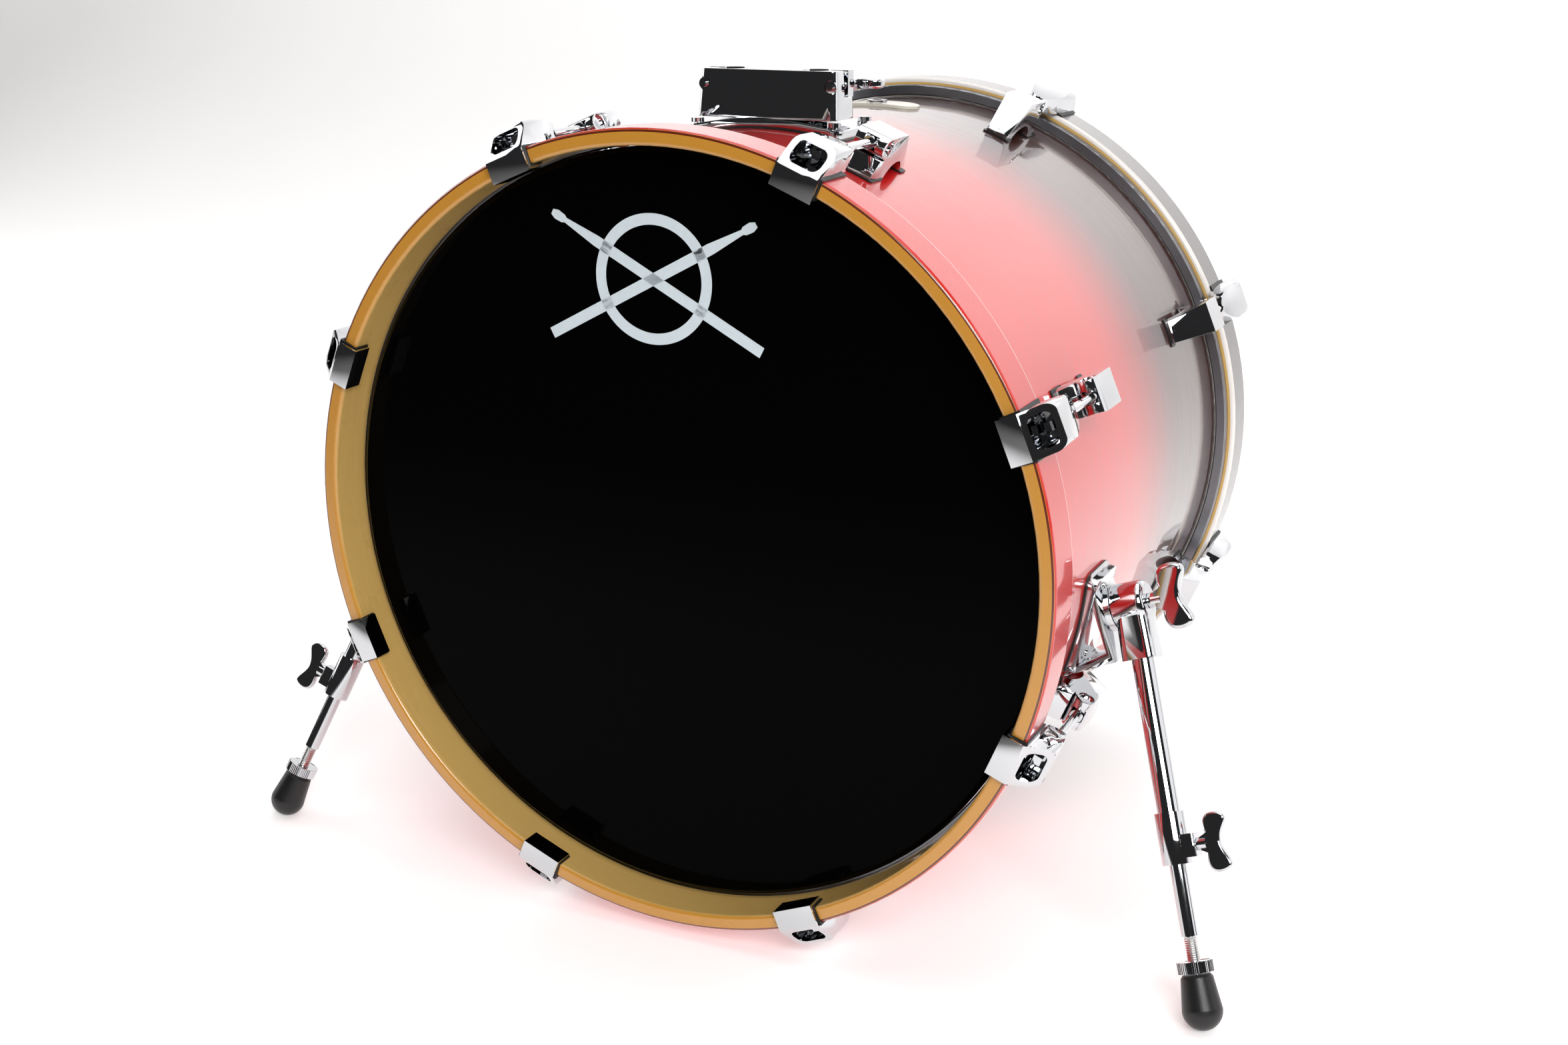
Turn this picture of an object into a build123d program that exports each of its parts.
"""A 22 x 18 inch bass drum: shell, heads, wood hoops, claws, tension rods,
bridge lugs, a double tom mount and two folding spurs.

Frame: +Z up, the resonant (front) head faces -Y, +X to the right seen from the
front. The origin is on the floor, under the middle of the drum.
"""
from build123d import *
from math import cos, degrees, radians, sin
import os

os.makedirs("parts", exist_ok=True)

# ---------------------------------------------------------------- dimensions
SHELL_R = 277.5          # outside radius of the shell
SHELL_WALL = 7.5         # six plies of maple
SHELL_LENGTH = 458.0     # 18 inches
BEARING_EDGE = 4.0       # 45 degree edge that the head sits on
EDGE_RELIEF = 3.0        # the small counter-cut outside it

HOOP_R = 293.0           # outside radius of a wood hoop
HOOP_WALL = 12.0
HOOP_DEPTH = 38.0
HOOP_ROUND = 3.0
DRUM_LENGTH = 520.0      # hoop edge to hoop edge
HALF = DRUM_LENGTH / 2

HEAD_FILM = 0.3
HEAD_COLLAR = 14.0       # how far the film runs down outside the shell
FLESH_OUT_R = 287.5
FLESH_IN_R = 278.6
FLESH_HEIGHT = 9.0

LUG_COUNT = 8
LUG_ANGLES = [22.5 + 45.0 * i for i in range(LUG_COUNT)]
ROD_R = 3.0
ROD_CIRCLE = 301.5       # radius of the circle that the tension rods stand on
ROD_CLEARANCE = 0.05
FRONT_BARREL = 103.0     # hoop edge to the lug's barrel end, front side
REAR_BARREL = 77.0       # the same, rear side
LUG_TOP = 31.0           # height of the lug above the shell
LUG_TOE = 2.5            # how far the front foot reaches past the barrels
LUG_LENGTH = 61.0
LUG_WIDTH = 25.0
LUG_SCREWS = (-7.5, -56.5)  # the two screws, from the barrel's end
GASKET = 1.2

CLAW_WIDTH = 32.0
CLAW_LENGTH = 63.0       # along the drum, behind the hoop's edge
CLAW_TOP = 19.0          # above the hoop
CLAW_GASKET = 1.4
CLAW_METAL = 3.0
CLAW_FLOOR = -31.0       # the wall in the claw that the rod's flange presses on

TOM_STATION = 67.5       # receivers' plane, forward of the drum's middle
TOM_WIDTH = 115.0
TOM_DEPTH = 35.0
TOM_FLOOR = 284.0        # bottom and top of the block, over the drum's axis
TOM_TOP = 319.0
TOM_SPLIT = 5.0          # gap between the block and its clamp jaws
TOM_JAW_HEIGHT = 20.0
TOM_BOLT_X = 52.0
TOM_BOLT_Z = 308.0
TOM_BASE_WIDTH = 128.0
TOM_BASE_DEPTH = 72.0
TOM_ARM_R = 11.15        # receivers for 7/8 inch tom arms
TOM_ARM_X = 34.5

BADGE_STATION = -125.0
BADGE_LENGTH = 74.0
BADGE_WIDTH = 30.0
VENT_R = 5.0

SPUR_PIVOT = (305.0, -40.0, 117.0)   # right side: across, up, forward
SPUR_BASE_ANGLE = 101.4  # middle of the bracket's base, from the top of the drum
SPUR_BASE = (50.0, 73.0)
SPUR_SCREW_Y = 27.0
SPUR_SPLAY = 19.6        # outward lean of the leg
SPUR_RAKE = 20.2         # forward lean of the leg
LEG_TUBE_R = 8.0
LEG_TUBE_BORE = 6.4
LEG_ROD_R = 6.0
LEG_THREAD_R = 4.0
FOOT_R = 14.0
FOOT_LENGTH = 38.0
PIVOT_BOLT_R = 4.0
FACE_DEPTH = -17.0       # the bracket's face, measured from the pivot's middle
FACE_METAL = 4.0
HUB_R = 16.0
HUB_HALF = 12.0
FOLD_GAP = 0.4
FIT = 0.05               # radial clearance of turning and sliding shafts

# ----------------------------------------------------- the drum's own planes
# The spurs lift the front, so the drum leans back a little on its rear hoop.
LEAN = 1.32
up_y = sin(radians(LEAN))
up_z = cos(radians(LEAN))
hoop_low = (HOOP_R - HOOP_ROUND) * up_z + (HALF - HOOP_ROUND) * up_y + HOOP_ROUND
DRUM = Plane(origin=(0, 0, hoop_low), x_dir=(1, 0, 0), z_dir=(0, -up_z, up_y))
AXIS = Axis(DRUM.origin, DRUM.z_dir)
# a plane through the axis: x is the radius, y runs forward
PROFILE = Plane(origin=DRUM.origin, x_dir=DRUM.y_dir, z_dir=DRUM.x_dir)


def on_side(angle, radius, station, facing=1):
    """A plane on the drum's side: x runs to the front hoop, or to the rear
    one when facing is -1, and z points away from the drum's axis."""
    outward = DRUM.x_dir * sin(radians(angle)) + DRUM.y_dir * cos(radians(angle))
    origin = DRUM.origin + outward * radius + DRUM.z_dir * station
    return Plane(origin=origin, x_dir=DRUM.z_dir * facing, z_dir=outward)


# the tom mount's plane: x across, y to the rear, z up from the drum's axis
TOP = Plane(origin=DRUM.origin + DRUM.z_dir * TOM_STATION, x_dir=DRUM.x_dir, z_dir=DRUM.y_dir)
base_centre = (0, 10)
base_screws = [(x, base_centre[1] + y) for x in (-56, 56) for y in (-28, 28)]


def in_drum(across, up, forward):
    """A direction given in the drum's own frame."""
    return DRUM.x_dir * across + DRUM.y_dir * up + DRUM.z_dir * forward


def save(piece, name):
    """Label a finished piece and write its STEP file."""
    piece.part.label = name
    export_step(piece.part, f"parts/{name}.step")


# --------------------------------------------------------------------- shell
with BuildPart() as shell:
    with BuildSketch(PROFILE):
        with Locations((SHELL_R - SHELL_WALL / 2, 0)):
            Rectangle(SHELL_WALL, SHELL_LENGTH)
    revolve(axis=AXIS)
    inner_rims = shell.edges().filter_by(GeomType.CIRCLE).sort_by(SortBy.RADIUS)[:2]
    chamfer(inner_rims, BEARING_EDGE)
    outer_rims = shell.edges().filter_by(GeomType.CIRCLE).sort_by(SortBy.RADIUS)[-2:]
    chamfer(outer_rims, EDGE_RELIEF)
    # two bolt holes under each lug
    for facing, barrel in ((1, FRONT_BARREL), (-1, REAR_BARREL)):
        for angle in LUG_ANGLES:
            with Locations(on_side(angle, SHELL_R - SHELL_WALL / 2, facing * HALF, facing)):
                with Locations(*[(x - barrel, 0) for x in LUG_SCREWS]):
                    Cylinder(2.6, SHELL_WALL + 4, mode=Mode.SUBTRACT)
    # bolt holes of the tom mount and of the two spur brackets
    with Locations(TOP):
        with Locations(*base_screws):
            Cylinder(2.6, SHELL_R + 20, align=(Align.CENTER, Align.CENTER, Align.MIN), mode=Mode.SUBTRACT)
    for angle in (SPUR_BASE_ANGLE, -SPUR_BASE_ANGLE):
        with Locations(on_side(angle, SHELL_R - SHELL_WALL / 2, SPUR_PIVOT[2])):
            with Locations((0, -SPUR_SCREW_Y), (0, SPUR_SCREW_Y)):
                Cylinder(2.6, SHELL_WALL + 4, mode=Mode.SUBTRACT)
    # the air vent in the middle of the badge
    with Locations(on_side(0, SHELL_R - SHELL_WALL / 2, BADGE_STATION)):
        Cylinder(VENT_R + 2.0, SHELL_WALL + 4, mode=Mode.SUBTRACT)
save(shell, "shell")

# --------------------------------------------------------------------- heads
for side, facing in (("front", 1), ("rear", -1)):
    top = facing * (SHELL_LENGTH / 2 + HEAD_FILM)
    under = facing * (SHELL_LENGTH / 2)
    skirt = facing * (SHELL_LENGTH / 2 - HEAD_COLLAR)
    bend = facing * (SHELL_LENGTH / 2 - EDGE_RELIEF)
    with BuildPart() as head:
        with BuildSketch(PROFILE):
            with BuildLine():
                Polyline(
                    (0, under),
                    (0, top),
                    (SHELL_R - EDGE_RELIEF, top),
                    (SHELL_R + 0.7, bend),
                    (SHELL_R + 0.7, skirt),
                    (SHELL_R + 0.3, skirt),
                    (SHELL_R + 0.3, bend),
                    (SHELL_R - EDGE_RELIEF, under),
                    close=True,
                )
            make_face()
        revolve(axis=AXIS)
    save(head, f"{side}_head")

    with BuildPart() as flesh_hoop:
        station = facing * (HALF - HOOP_DEPTH - FLESH_HEIGHT / 2)
        with BuildSketch(PROFILE) as channel:
            with Locations(((FLESH_OUT_R + FLESH_IN_R) / 2, station)):
                Rectangle(FLESH_OUT_R - FLESH_IN_R, FLESH_HEIGHT)
            fillet(channel.vertices(), 1.2)
        revolve(axis=AXIS)
    save(flesh_hoop, f"{side}_flesh_hoop")

    with BuildPart() as hoop:
        station = facing * (HALF - HOOP_DEPTH / 2)
        with BuildSketch(PROFILE) as section:
            with Locations((HOOP_R - HOOP_WALL / 2, station)):
                Rectangle(HOOP_WALL, HOOP_DEPTH)
            fillet(section.vertices(), HOOP_ROUND)
        revolve(axis=AXIS)
    save(hoop, f"{side}_hoop")

# --------------------------------------------------------------------- claws
# Local frame: x outward past the hoop's edge, z away from the hoop's face.
ROD_Z = ROD_CIRCLE - HOOP_R
HOOP_AXIS = Axis((0, 0, -HOOP_R), (1, 0, 0))
lip_z = -HOOP_WALL - CLAW_GASKET
front_x = CLAW_GASKET + CLAW_METAL
claw_places = {}
for side, facing in (("front", 1), ("rear", -1)):
    claw_places[side] = [on_side(a, HOOP_R, facing * HALF, facing) for a in LUG_ANGLES]


def hoop_section(turn):
    """A plane through the hoop's axis, turned a little round the drum."""
    normal = (0, -cos(radians(turn)), sin(radians(turn)))
    return Plane(origin=(0, 0, -HOOP_R), x_dir=(1, 0, 0), z_dir=normal)


with BuildPart() as claw:
    with BuildSketch(Plane.XZ.offset(-CLAW_WIDTH / 2)):
        with BuildLine():
            Polyline(
                (-12, -10),
                (-36, -10),
                (-CLAW_LENGTH, 2.6),
                (-CLAW_LENGTH, 12),
                (-26, CLAW_TOP - 0.4),
                (-14, CLAW_TOP),
                (front_x, -1),
                (front_x, lip_z - CLAW_METAL),
                (-12, lip_z - CLAW_METAL),
                close=True,
            )
        make_face()
    extrude(amount=CLAW_WIDTH)
    # seen from above, the body narrows to a round nose where the rod leaves
    with BuildSketch(Plane.XY.offset(-30)):
        with BuildLine():
            flank = CLAW_WIDTH / 2
            Polyline((-18, flank), (front_x + 1, flank), (front_x + 1, -flank), (-18, -flank))
            Spline(
                (-18, -flank),
                (-CLAW_LENGTH, 0),
                (-18, flank),
                tangents=((-1, 0), (0, 1), (1, 0)),
            )
        make_face()
    extrude(amount=60, mode=Mode.INTERSECT)
    # the channel that the hoop and its gasket lie in
    with BuildSketch(hoop_section(6)):
        with Locations((CLAW_GASKET - 60, HOOP_R - HOOP_WALL / 2)):
            Rectangle(120, HOOP_WALL + 2 * CLAW_GASKET)
    revolve(axis=HOOP_AXIS, revolution_arc=12, mode=Mode.SUBTRACT)
    # the shoulders are rounded
    with BuildSketch(Plane.YZ.offset(-CLAW_LENGTH - 1)):
        with Locations((0, CLAW_TOP - 30)):
            RectangleRounded(CLAW_WIDTH, 60, 7)
    extrude(amount=CLAW_LENGTH + 10, mode=Mode.INTERSECT)
    # the recess for the rod's head, open on the slope
    with BuildSketch(Plane.YZ.offset(CLAW_FLOOR)):
        with Locations((0, ROD_Z + 0.5)):
            RectangleRounded(23, 13.2, 5)
    extrude(amount=50, mode=Mode.SUBTRACT)
    with Locations(Location((-45, 0, ROD_Z), (0, 90, 0))):
        Cylinder(ROD_R + 0.8, 60, mode=Mode.SUBTRACT)

gasket_turn = degrees((CLAW_WIDTH / 2 + 1.5) / HOOP_R)
with BuildPart() as claw_gasket:
    with BuildSketch(hoop_section(gasket_turn)):
        with BuildLine():
            Polyline(
                (-13.5, HOOP_R - HOOP_WALL),
                (0, HOOP_R - HOOP_WALL),
                (0, HOOP_R),
                (-36, HOOP_R),
                (-36, HOOP_R + CLAW_GASKET),
                (CLAW_GASKET, HOOP_R + CLAW_GASKET),
                (CLAW_GASKET, HOOP_R + lip_z),
                (-13.5, HOOP_R + lip_z),
                close=True,
            )
        make_face()
    revolve(axis=HOOP_AXIS, revolution_arc=2 * gasket_turn)

for side in ("front", "rear"):
    with BuildPart() as claws:
        with Locations(*claw_places[side]):
            add(claw.part)
    save(claws, f"{side}_claws")
with BuildPart() as claw_gaskets:
    with Locations(*claw_places["front"], *claw_places["rear"]):
        add(claw_gasket.part)
save(claw_gaskets, "claw_gaskets")

# ---------------------------------------------------------------------- lugs
# Local frame: x towards the hoop, z away from the shell, x = 0 at the barrel.
LUG_ROD_Z = ROD_CIRCLE - SHELL_R
BARREL_R = 6.0
BARREL_X = -8.5
CHEEK_R = (LUG_TOP - 15.5) / 2
SHELL_AXIS_X = Location((0, 0, -SHELL_R), (0, 90, 0))
lug_front = [on_side(a, SHELL_R, HALF - FRONT_BARREL) for a in LUG_ANGLES]
lug_rear = [on_side(a, SHELL_R, REAR_BARREL - HALF, -1) for a in LUG_ANGLES]

with BuildPart() as lug:
    with BuildSketch(Plane.XZ.offset(-LUG_WIDTH / 2)):
        with BuildLine():
            Polyline((LUG_TOE - 20, -3), (LUG_TOE, -3), (LUG_TOE, 2), (-3, 14.5), (BARREL_X, 15.5))
            ThreePointArc(
                (BARREL_X, 15.5),
                (BARREL_X + CHEEK_R, LUG_TOP - CHEEK_R),
                (BARREL_X, LUG_TOP),
            )
            Polyline(
                (BARREL_X, LUG_TOP),
                (-38, LUG_TOP),
                (-LUG_LENGTH, 3.5),
                (-LUG_LENGTH, -3),
                (9 - LUG_LENGTH, -3),
                (9 - LUG_LENGTH, 1),
            )
            ThreePointArc(
                (9 - LUG_LENGTH, 1),
                ((LUG_TOE - 11 - LUG_LENGTH) / 2, 11.5),
                (LUG_TOE - 20, 1),
            )
            Line((LUG_TOE - 20, 1), (LUG_TOE - 20, -3))
        make_face()
    extrude(amount=LUG_WIDTH)
    with BuildSketch(Plane.XY.offset(-10)):
        Polygon(
            (LUG_TOE + 1, 10.5),
            (-6, LUG_WIDTH / 2),
            (-36, LUG_WIDTH / 2),
            (-LUG_LENGTH - 1, 9),
            (-LUG_LENGTH - 1, -9),
            (-36, -LUG_WIDTH / 2),
            (-6, -LUG_WIDTH / 2),
            (LUG_TOE + 1, -10.5),
            align=None,
        )
    extrude(amount=60, mode=Mode.INTERSECT)
    with Locations(SHELL_AXIS_X):
        Cylinder(SHELL_R + GASKET, 200, mode=Mode.SUBTRACT)
    # the nut's cradle, and the way for the rod
    with Locations(Location((BARREL_X, 0, LUG_ROD_Z), (90, 0, 0))):
        Cylinder(BARREL_R, LUG_WIDTH + 2, mode=Mode.SUBTRACT)
    with Locations((BARREL_X + 5, 0, LUG_ROD_Z)):
        Box(12, 10, 10, mode=Mode.SUBTRACT)
    with Locations(Location((-18.5, 0, LUG_ROD_Z), (0, 90, 0))):
        Cylinder(ROD_R + 0.8, 41, mode=Mode.SUBTRACT)
    # the threaded holes in the two feet
    with Locations(*[(x, 0) for x in LUG_SCREWS]):
        Cylinder(2.6, 12, mode=Mode.SUBTRACT)

with BuildPart() as nut:
    with Locations(Location((BARREL_X, 0, LUG_ROD_Z), (90, 0, 0))):
        Cylinder(BARREL_R, 21)
    with Locations(Location((BARREL_X + 6.0, 0, LUG_ROD_Z), (0, 90, 0))):
        Cylinder(4.6, 7)
    with Locations(Location((BARREL_X, 0, LUG_ROD_Z), (0, 90, 0))):
        Cylinder(ROD_R + ROD_CLEARANCE, 40, mode=Mode.SUBTRACT)

with BuildPart() as lug_gasket:
    with BuildSketch(Plane.XY.offset(-5)):
        with Locations((LUG_TOE - 9.4, 0)):
            RectangleRounded(21.5, LUG_WIDTH + 1.5, 2)
        with Locations((4.0 - LUG_LENGTH, 0)):
            RectangleRounded(10.5, LUG_WIDTH - 1.5, 2)
        with Locations(*[(x, 0) for x in LUG_SCREWS]):
            Circle(2.6, mode=Mode.SUBTRACT)
    extrude(amount=12)
    with Locations(SHELL_AXIS_X):
        Cylinder(SHELL_R + GASKET, 200, mode=Mode.INTERSECT)
        Cylinder(SHELL_R, 200, mode=Mode.SUBTRACT)

with BuildPart() as lug_screw:
    for x in LUG_SCREWS:
        with BuildSketch(Plane.XY.offset(-SHELL_WALL - 1.2)):
            with Locations((x, 0)):
                Circle(6)
        extrude(amount=-1.6)
        with BuildSketch(Plane.XY.offset(-SHELL_WALL - 2.8)):
            with Locations((x, 0)):
                RegularPolygon(4.6, 6)
        extrude(amount=-3.6)
        with BuildSketch(Plane.XY.offset(-SHELL_WALL - 2.8)):
            with Locations((x, 0)):
                Circle(2.5)
        extrude(amount=SHELL_WALL + 2.8 + 5.5)

for side, places in (("front", lug_front), ("rear", lug_rear)):
    with BuildPart() as lugs:
        with Locations(*places):
            add(lug.part)
    save(lugs, f"{side}_lugs")
for name, piece in (
    ("swivel_nuts", nut),
    ("lug_gaskets", lug_gasket),
    ("lug_screws", lug_screw),
):
    with BuildPart() as copies:
        with Locations(*lug_front, *lug_rear):
            add(piece.part)
    save(copies, name)

# ------------------------------------------------------------- tension rods
for side, barrel in (("front", FRONT_BARREL), ("rear", REAR_BARREL)):
    with BuildPart() as rod:
        flange_x = CLAW_FLOOR + 0.4
        with Locations(Location((flange_x, 0, ROD_Z), (0, 90, 0))):
            with Locations((0, 0, 1.2)):
                Cylinder(5.6, 2.4)
            with Locations((0, 0, 4.4)):
                Cylinder(4.2, 4.0)
        with BuildSketch(Plane.YZ.offset(flange_x + 6.4)):
            with Locations((0, ROD_Z)):
                RectangleRounded(6.2, 6.2, 0.6)
        extrude(amount=7)
        with BuildSketch(Plane.YZ.offset(flange_x)):
            with Locations((0, ROD_Z)):
                Circle(ROD_R)
        extrude(amount=-(barrel + 24 + flange_x))
    for number, place in enumerate(claw_places[side], start=1):
        with BuildPart() as tension_rod:
            with Locations(place):
                add(rod.part)
        save(tension_rod, f"{side}_rod_{number}")

# ----------------------------------------------------------------- tom mount
AXIS_THERE = Location((0, 0, 0), (90, 0, 0))
jaw_x = (TOM_ARM_X - 4 + TOM_WIDTH / 2) / 2
jaw_width = TOM_WIDTH / 2 - TOM_ARM_X + 4
with BuildPart() as block:
    with BuildSketch(Plane.XY.offset(TOM_FLOOR)) as foot:
        Rectangle(TOM_WIDTH, TOM_DEPTH)
        fillet(foot.vertices(), 5)
    with BuildSketch(Plane.XY.offset(TOM_TOP)) as crown:
        with Locations((0, 2)):
            Rectangle(TOM_WIDTH - 4, TOM_DEPTH - 4)
        fillet(crown.vertices(), 5)
    loft()
    # the front face is slightly hollow
    with BuildSketch(Plane.XY.offset(TOM_FLOOR + 3)):
        with Locations((0, -TOM_DEPTH / 2 - 297)):
            Circle(300)
    extrude(amount=TOM_TOP - TOM_FLOOR, mode=Mode.SUBTRACT)
    for side in (-1, 1):
        with Locations((side * TOM_ARM_X, 0, TOM_TOP - 14)):
            Cylinder(TOM_ARM_R, 44, mode=Mode.SUBTRACT)
        # the rear half of each receiver is a separate jaw
        with Locations((side * jaw_x, 0, TOM_TOP - TOM_JAW_HEIGHT)):
            Box(
                jaw_width,
                TOM_DEPTH,
                TOM_JAW_HEIGHT + 1,
                align=(Align.CENTER, Align.MIN, Align.MIN),
                mode=Mode.SUBTRACT,
            )
        with Locations(Location((side * TOM_BOLT_X, 0, TOM_BOLT_Z), (90, 0, 0))):
            Cylinder(3.3, 80, mode=Mode.SUBTRACT)
            with Locations((0, 0, TOM_DEPTH / 2)):
                Cylinder(4.8, 10, mode=Mode.SUBTRACT)
with BuildPart() as housing:
    with Locations(TOP):
        add(block.part)
save(housing, "tom_housing")

with BuildPart() as jaw_pair:
    for side in (-1, 1):
        with BuildSketch(Plane.XY.offset(TOM_TOP - TOM_JAW_HEIGHT + 0.6)) as jaw_plan:
            with Locations((side * jaw_x, TOM_SPLIT)):
                Rectangle(
                    jaw_width - 0.6,
                    TOM_DEPTH / 2 - TOM_SPLIT,
                    align=(Align.CENTER, Align.MIN),
                )
            fillet(jaw_plan.vertices().group_by(Axis.Y)[-1], 3)
        extrude(amount=TOM_JAW_HEIGHT - 0.6)
    for side in (-1, 1):
        with Locations((side * TOM_ARM_X, 0, TOM_TOP - 14)):
            Cylinder(TOM_ARM_R, 44, mode=Mode.SUBTRACT)
        with Locations(Location((side * TOM_BOLT_X, 0, TOM_BOLT_Z), (90, 0, 0))):
            Cylinder(3.0 + FIT, 80, mode=Mode.SUBTRACT)
with BuildPart() as jaws:
    with Locations(TOP):
        add(jaw_pair.part)
save(jaws, "tom_clamp_jaws")

with BuildPart() as saddle:
    with BuildSketch(Plane.XY.offset(200)):
        with Locations(base_centre):
            RectangleRounded(TOM_BASE_WIDTH, TOM_BASE_DEPTH, 9)
    extrude(amount=TOM_FLOOR - 200)
    with Locations(AXIS_THERE):
        Cylinder(TOM_FLOOR + 0.5, 200, mode=Mode.INTERSECT)
        Cylinder(SHELL_R + 1.5, 200, mode=Mode.SUBTRACT)
    with Locations(*base_screws):
        Cylinder(2.7, 700, mode=Mode.SUBTRACT)
with BuildPart() as base:
    with Locations(TOP):
        add(saddle.part)
save(base, "tom_base")

with BuildPart() as pad:
    with BuildSketch(Plane.XY.offset(200)):
        with Locations(base_centre):
            RectangleRounded(TOM_BASE_WIDTH + 3, TOM_BASE_DEPTH + 3, 10)
    extrude(amount=TOM_FLOOR - 200)
    with Locations(AXIS_THERE):
        Cylinder(SHELL_R + 1.5, 200, mode=Mode.INTERSECT)
        Cylinder(SHELL_R, 200, mode=Mode.SUBTRACT)
    with Locations(*base_screws):
        Cylinder(2.7, 700, mode=Mode.SUBTRACT)
with BuildPart() as tom_gasket:
    with Locations(TOP):
        add(pad.part)
save(tom_gasket, "tom_gasket")

# round-headed screws in the base's corners, and key bolts in the block's front
screw_seat = ((TOM_FLOOR + 0.5) ** 2 - (base_screws[-1][0] - 5.0) ** 2) ** 0.5
with BuildPart() as corner_screw:
    with Locations(*[(x, y, screw_seat) for x, y in base_screws]):
        Cylinder(5.0, 3.2, align=(Align.CENTER, Align.CENTER, Align.MIN))
        Cylinder(2.5, 26, align=(Align.CENTER, Align.CENTER, Align.MAX))
with BuildPart() as tom_screws:
    with Locations(TOP):
        add(corner_screw.part)
save(tom_screws, "tom_base_screws")
with BuildPart() as key_bolt:
    for side in (-1, 1):
        bolt_seat = Location((side * TOM_BOLT_X, -TOM_DEPTH / 2 + 5, TOM_BOLT_Z), (90, 0, 0))
        with Locations(bolt_seat):
            Cylinder(4.4, 2, align=(Align.CENTER, Align.CENTER, Align.MIN))
            with Locations((0, 0, 2)):
                Cylinder(2.6, 2.5, align=(Align.CENTER, Align.CENTER, Align.MIN))
            Cylinder(2.5, 6, align=(Align.CENTER, Align.CENTER, Align.MAX))
with BuildPart() as key_bolts:
    with Locations(TOP):
        add(key_bolt.part)
save(key_bolts, "tom_key_bolts")


def wing_bolt(thread_r, thread, neck_r, neck, span, waist, blade):
    """A wing bolt along +z: its seat is z = 0, the thread runs below it."""
    with BuildPart() as bolt:
        Cylinder(thread_r, thread, align=(Align.CENTER, Align.CENTER, Align.MAX))
        Cylinder(neck_r, neck, align=(Align.CENTER, Align.CENTER, Align.MIN))
        with BuildSketch(Plane.XZ.offset(-blade / 2)):
            with BuildLine():
                top = neck + waist
                Polyline((-neck_r, neck - 4), (neck_r, neck - 4), (neck_r + 2, neck))
                Spline(
                    (neck_r + 2, neck),
                    (span / 2, neck + 0.55 * waist),
                    (span / 2 - 3, top + 2),
                    (0, top - 3),
                    (3 - span / 2, top + 2),
                    (-span / 2, neck + 0.55 * waist),
                    (-neck_r - 2, neck),
                )
                Line((-neck_r - 2, neck), (-neck_r, neck - 4))
            make_face()
        extrude(amount=blade)
        fillet(bolt.edges().filter_by(GeomType.BSPLINE), blade * 0.3)
    return bolt.part


tom_wing = wing_bolt(3.0, 17, 5.0, 8, 42, 14, 7)
for side, sign in (("left", -1), ("right", 1)):
    seat = TOP * Location((sign * TOM_BOLT_X, TOM_DEPTH / 2 + 0.4, TOM_BOLT_Z), (-90, 0, 0))
    with BuildPart() as tom_bolt:
        with Locations(seat):
            add(tom_wing)
    save(tom_bolt, f"tom_wing_bolt_{side}")

# ---------------------------------------------------------- badge and vent
with BuildPart() as badge:
    with BuildSketch(on_side(0, SHELL_R - 20, BADGE_STATION)):
        SlotOverall(BADGE_LENGTH, BADGE_WIDTH, rotation=90)
        Circle(VENT_R + 0.1, mode=Mode.SUBTRACT)
    extrude(amount=40)
    with Locations(Location(DRUM.location)):
        Cylinder(SHELL_R + 2.4, 600, mode=Mode.INTERSECT)
        Cylinder(SHELL_R + 0.05, 600, mode=Mode.SUBTRACT)
save(badge, "badge")

with BuildPart() as vent:
    with Locations(on_side(0, SHELL_R, BADGE_STATION)):
        Cylinder(VENT_R, SHELL_WALL + 5, align=(Align.CENTER, Align.CENTER, Align.MAX))
        with Locations((0, 0, -2)):
            Cylinder(VENT_R, 6, align=(Align.CENTER, Align.CENTER, Align.MIN))
        with Locations((0, 0, 2.5)):
            Cylinder(VENT_R + 3.5, 1.6, align=(Align.CENTER, Align.CENTER, Align.MIN))
        Cylinder(VENT_R - 1.0, 60, mode=Mode.SUBTRACT)
save(vent, "vent_grommet")

# --------------------------------------------------------------------- spurs
# Built on the right side and mirrored to the left.
MIDDLE = Plane(origin=DRUM.origin, x_dir=DRUM.y_dir, z_dir=DRUM.x_dir)
across, up, forward = SPUR_PIVOT
pivot = DRUM.origin + in_drum(across, up, forward)
outward = in_drum(cos(radians(SPUR_SPLAY)), sin(radians(SPUR_SPLAY)), 0)
down = in_drum(sin(radians(SPUR_SPLAY)), -cos(radians(SPUR_SPLAY)), 0)
# FOLD: x forward, y down the leg's plane, z outward along the pivot
FOLD = Plane(origin=pivot, x_dir=DRUM.z_dir, z_dir=outward)
leg_way = FOLD.x_dir * sin(radians(SPUR_RAKE)) + down * cos(radians(SPUR_RAKE))
# LEG: z down the leg from the pivot, x outward
LEG = Plane(origin=pivot, x_dir=outward, z_dir=leg_way)
# the foot's round end rests on the floor
foot_at = (pivot.Z - FOOT_R) / -leg_way.Z
rubber_top = foot_at + FOOT_R - FOOT_LENGTH
nut_at = rubber_top - 9.0
thread_at = rubber_top - 26.0
collar_top = foot_at - 135.0
collar_bottom = collar_top + 36.0
tube_top = 18.0
tube_bottom = collar_top + 20.0
rod_top = foot_at - 164.0
SLEEVE = 40.0


def spur(name, build):
    """Write a right-hand spur piece, and its mirror image for the left."""
    save(build, f"spur_{name}_right")
    with BuildPart() as left_hand:
        mirror(build.part, about=MIDDLE)
    save(left_hand, f"spur_{name}_left")


def pair(name, build):
    """Write one node that holds a right-hand piece and its mirror image."""
    with BuildPart() as both:
        add(build.part)
        mirror(build.part, about=MIDDLE)
    save(both, f"spur_{name}")


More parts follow.
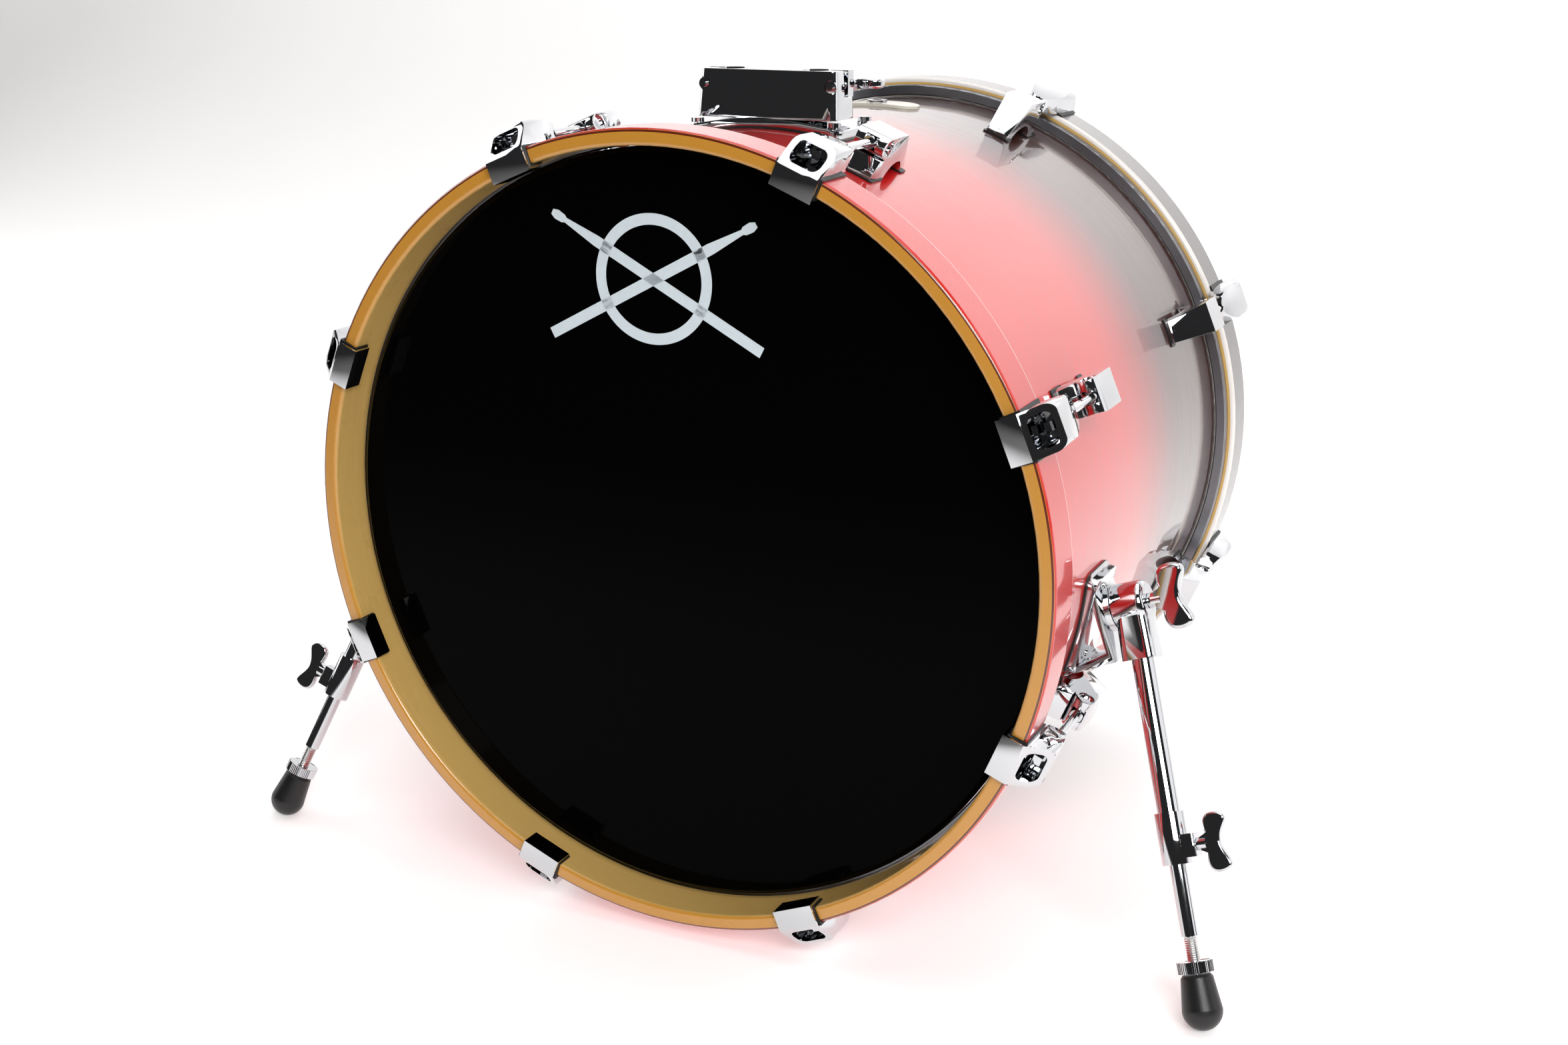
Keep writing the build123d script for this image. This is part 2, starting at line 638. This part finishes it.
BRACKET_HALF = 22.0
with BuildPart() as bracket:
    # the wedge between the shell and the tilted face, with its window
    with BuildSketch(FOLD.offset(FACE_DEPTH - FACE_METAL)):
        with Locations((0, 2)):
            RectangleRounded(2 * BRACKET_HALF, 66, 6)
    extrude(amount=FACE_METAL)
    wedge_plane = DRUM.offset(forward - BRACKET_HALF)
    face_foot = DRUM.to_local_coords(pivot + outward * FACE_DEPTH + down * 34)
    face_head = DRUM.to_local_coords(pivot + outward * FACE_DEPTH - down * 29)
    inner_foot = DRUM.to_local_coords(pivot + outward * (FACE_DEPTH - 5) + down * 26)
    inner_head = DRUM.to_local_coords(pivot + outward * (FACE_DEPTH - 5) - down * 12)
    shell_foot = (SHELL_R - 2) * sin(radians(110.5)), (SHELL_R - 2) * cos(radians(110.5))
    shell_head = (SHELL_R - 2) * sin(radians(95.5)), (SHELL_R - 2) * cos(radians(95.5))
    window_foot = (SHELL_R + 5) * sin(radians(108.3)), (SHELL_R + 5) * cos(radians(108.3))
    with BuildSketch(wedge_plane):
        Polygon(
            (face_head.X, face_head.Y),
            (face_foot.X, face_foot.Y),
            shell_foot,
            shell_head,
            align=None,
        )
        Polygon(
            (inner_head.X, inner_head.Y),
            (inner_foot.X, inner_foot.Y),
            window_foot,
            align=None,
            mode=Mode.SUBTRACT,
        )
    extrude(amount=2 * BRACKET_HALF)
    with BuildSketch(on_side(SPUR_BASE_ANGLE, SHELL_R - 12, forward)):
        RectangleRounded(*SPUR_BASE, 7)
    extrude(amount=18)
    with Locations(DRUM.location):
        Cylinder(SHELL_R + 1.5, 700, mode=Mode.SUBTRACT)
    with BuildSketch(FOLD.offset(FACE_DEPTH)):
        Circle(17)
    extrude(amount=-FACE_DEPTH - HUB_HALF - FOLD_GAP)
    with Locations(FOLD.location):
        Cylinder(PIVOT_BOLT_R + FIT, 44, mode=Mode.SUBTRACT)
    with Locations(on_side(SPUR_BASE_ANGLE, SHELL_R, forward)):
        with Locations((0, -SPUR_SCREW_Y), (0, SPUR_SCREW_Y)):
            Cylinder(2.6, 16, mode=Mode.SUBTRACT)
pair("brackets", bracket)

with BuildPart() as bracket_pad:
    with BuildSketch(on_side(SPUR_BASE_ANGLE, SHELL_R - 12, forward)):
        RectangleRounded(SPUR_BASE[0] + 3, SPUR_BASE[1] + 3, 8)
    extrude(amount=24)
    with Locations(DRUM.location):
        Cylinder(SHELL_R + 1.5, 700, mode=Mode.INTERSECT)
        Cylinder(SHELL_R, 700, mode=Mode.SUBTRACT)
    with Locations(on_side(SPUR_BASE_ANGLE, SHELL_R, forward)):
        with Locations((0, -SPUR_SCREW_Y), (0, SPUR_SCREW_Y)):
            Cylinder(2.6, 16, mode=Mode.SUBTRACT)
pair("gaskets", bracket_pad)

with BuildPart() as bracket_screws:
    with Locations(on_side(SPUR_BASE_ANGLE, SHELL_R - SHELL_WALL - 2.4, forward)):
        with Locations((0, -SPUR_SCREW_Y), (0, SPUR_SCREW_Y)):
            Cylinder(6.0, 1.6, align=(Align.CENTER, Align.CENTER, Align.MAX))
            Cylinder(2.5, 16.5, align=(Align.CENTER, Align.CENTER, Align.MIN))
            with Locations((0, 0, -1.6)):
                Cylinder(4.4, 3.4, align=(Align.CENTER, Align.CENTER, Align.MAX))
pair("screws", bracket_screws)

with BuildPart() as leg_socket:
    with BuildSketch(FOLD.offset(-HUB_HALF)):
        Circle(HUB_R)
    extrude(amount=2 * HUB_HALF)
    fillet(leg_socket.edges().filter_by(GeomType.CIRCLE).sort_by(Axis(pivot, outward))[-1], 5)
    with BuildSketch(LEG):
        RectangleRounded(2 * HUB_HALF - 1, 26, 6)
    with BuildSketch(LEG.offset(SLEEVE)):
        RectangleRounded(2 * HUB_HALF + 1, 25, 6)
    loft()
    with BuildSketch(LEG.offset(tube_top)):
        Circle(LEG_TUBE_R)
    extrude(amount=SLEEVE, mode=Mode.SUBTRACT)
    with Locations(FOLD.location):
        Cylinder(PIVOT_BOLT_R + FIT, 60, mode=Mode.SUBTRACT)
spur("socket", leg_socket)

with BuildPart() as tube:
    with BuildSketch(LEG.offset(tube_top)):
        Circle(LEG_TUBE_R)
        Circle(LEG_TUBE_BORE, mode=Mode.SUBTRACT)
    extrude(amount=tube_bottom - tube_top)
spur("tube", tube)

with BuildPart() as collar:
    with BuildSketch(LEG.offset(collar_top)):
        Circle(10.5)
    extrude(amount=collar_bottom - collar_top)
    with BuildSketch(LEG.offset(collar_bottom - 20)):
        with Locations((8, 0)):
            RectangleRounded(18, 15, 2)
    extrude(amount=16)
    with BuildSketch(LEG.offset(collar_top)):
        Circle(LEG_TUBE_R)
    extrude(amount=tube_bottom - collar_top, mode=Mode.SUBTRACT)
    with Locations(LEG.location):
        Cylinder(LEG_ROD_R + FIT, 700, mode=Mode.SUBTRACT)
    with Locations(LEG * Location((8, 0, collar_bottom - 12), (0, 90, 0))):
        Cylinder(3.0 + FIT, 24, mode=Mode.SUBTRACT)
spur("collar", collar)

with BuildPart() as leg_rod:
    with BuildSketch(LEG.offset(rod_top)):
        Circle(LEG_ROD_R)
    extrude(amount=thread_at - rod_top)
    with BuildSketch(LEG.offset(thread_at)):
        Circle(LEG_THREAD_R)
    extrude(amount=rubber_top + 14 - thread_at)
spur("rod", leg_rod)

with BuildPart() as lock_nut:
    with BuildSketch(LEG.offset(nut_at)):
        Circle(12.7)
    extrude(amount=8)
    chamfer(lock_nut.edges().filter_by(GeomType.CIRCLE), 0.8)
    with Locations(LEG.location):
        Cylinder(LEG_THREAD_R + FIT, 700, mode=Mode.SUBTRACT)
spur("lock_nut", lock_nut)

leg_section = Plane(origin=pivot, x_dir=outward, z_dir=leg_way.cross(outward) * -1)
with BuildPart() as rubber:
    with BuildSketch(leg_section):
        with BuildLine():
            low = foot_at + FOOT_R
            Polyline(
                (0, low),
                (0, rubber_top + 16),
                (LEG_THREAD_R + FIT, rubber_top + 16),
                (LEG_THREAD_R + FIT, rubber_top),
                (9.6, rubber_top),
                (11.2, rubber_top + 2),
                (FOOT_R, foot_at),
            )
            CenterArc((0, foot_at), FOOT_R, 0, 90)
        make_face()
    revolve(axis=Axis(pivot, leg_way))
spur("foot", rubber)

pivot_bolt = wing_bolt(PIVOT_BOLT_R, 31, 5.5, 9, 47, 17, 10)
with BuildPart() as fold_bolt:
    with Locations(FOLD * Location((0, 0, HUB_HALF + 0.4), (0, 0, 80))):
        add(pivot_bolt)
spur("pivot_bolt", fold_bolt)

clamp_screw = wing_bolt(3.0, 9.5, 4.5, 6, 41, 13, 6)
with BuildPart() as clamp_wing:
    with Locations(LEG * Location((17.5, 0, collar_bottom - 12), (0, 90, 0))):
        add(clamp_screw)
spur("clamp_screw", clamp_wing)
print("foot at", round(foot_at, 2), "foot sphere height", round((pivot + leg_way * foot_at).Z, 3))
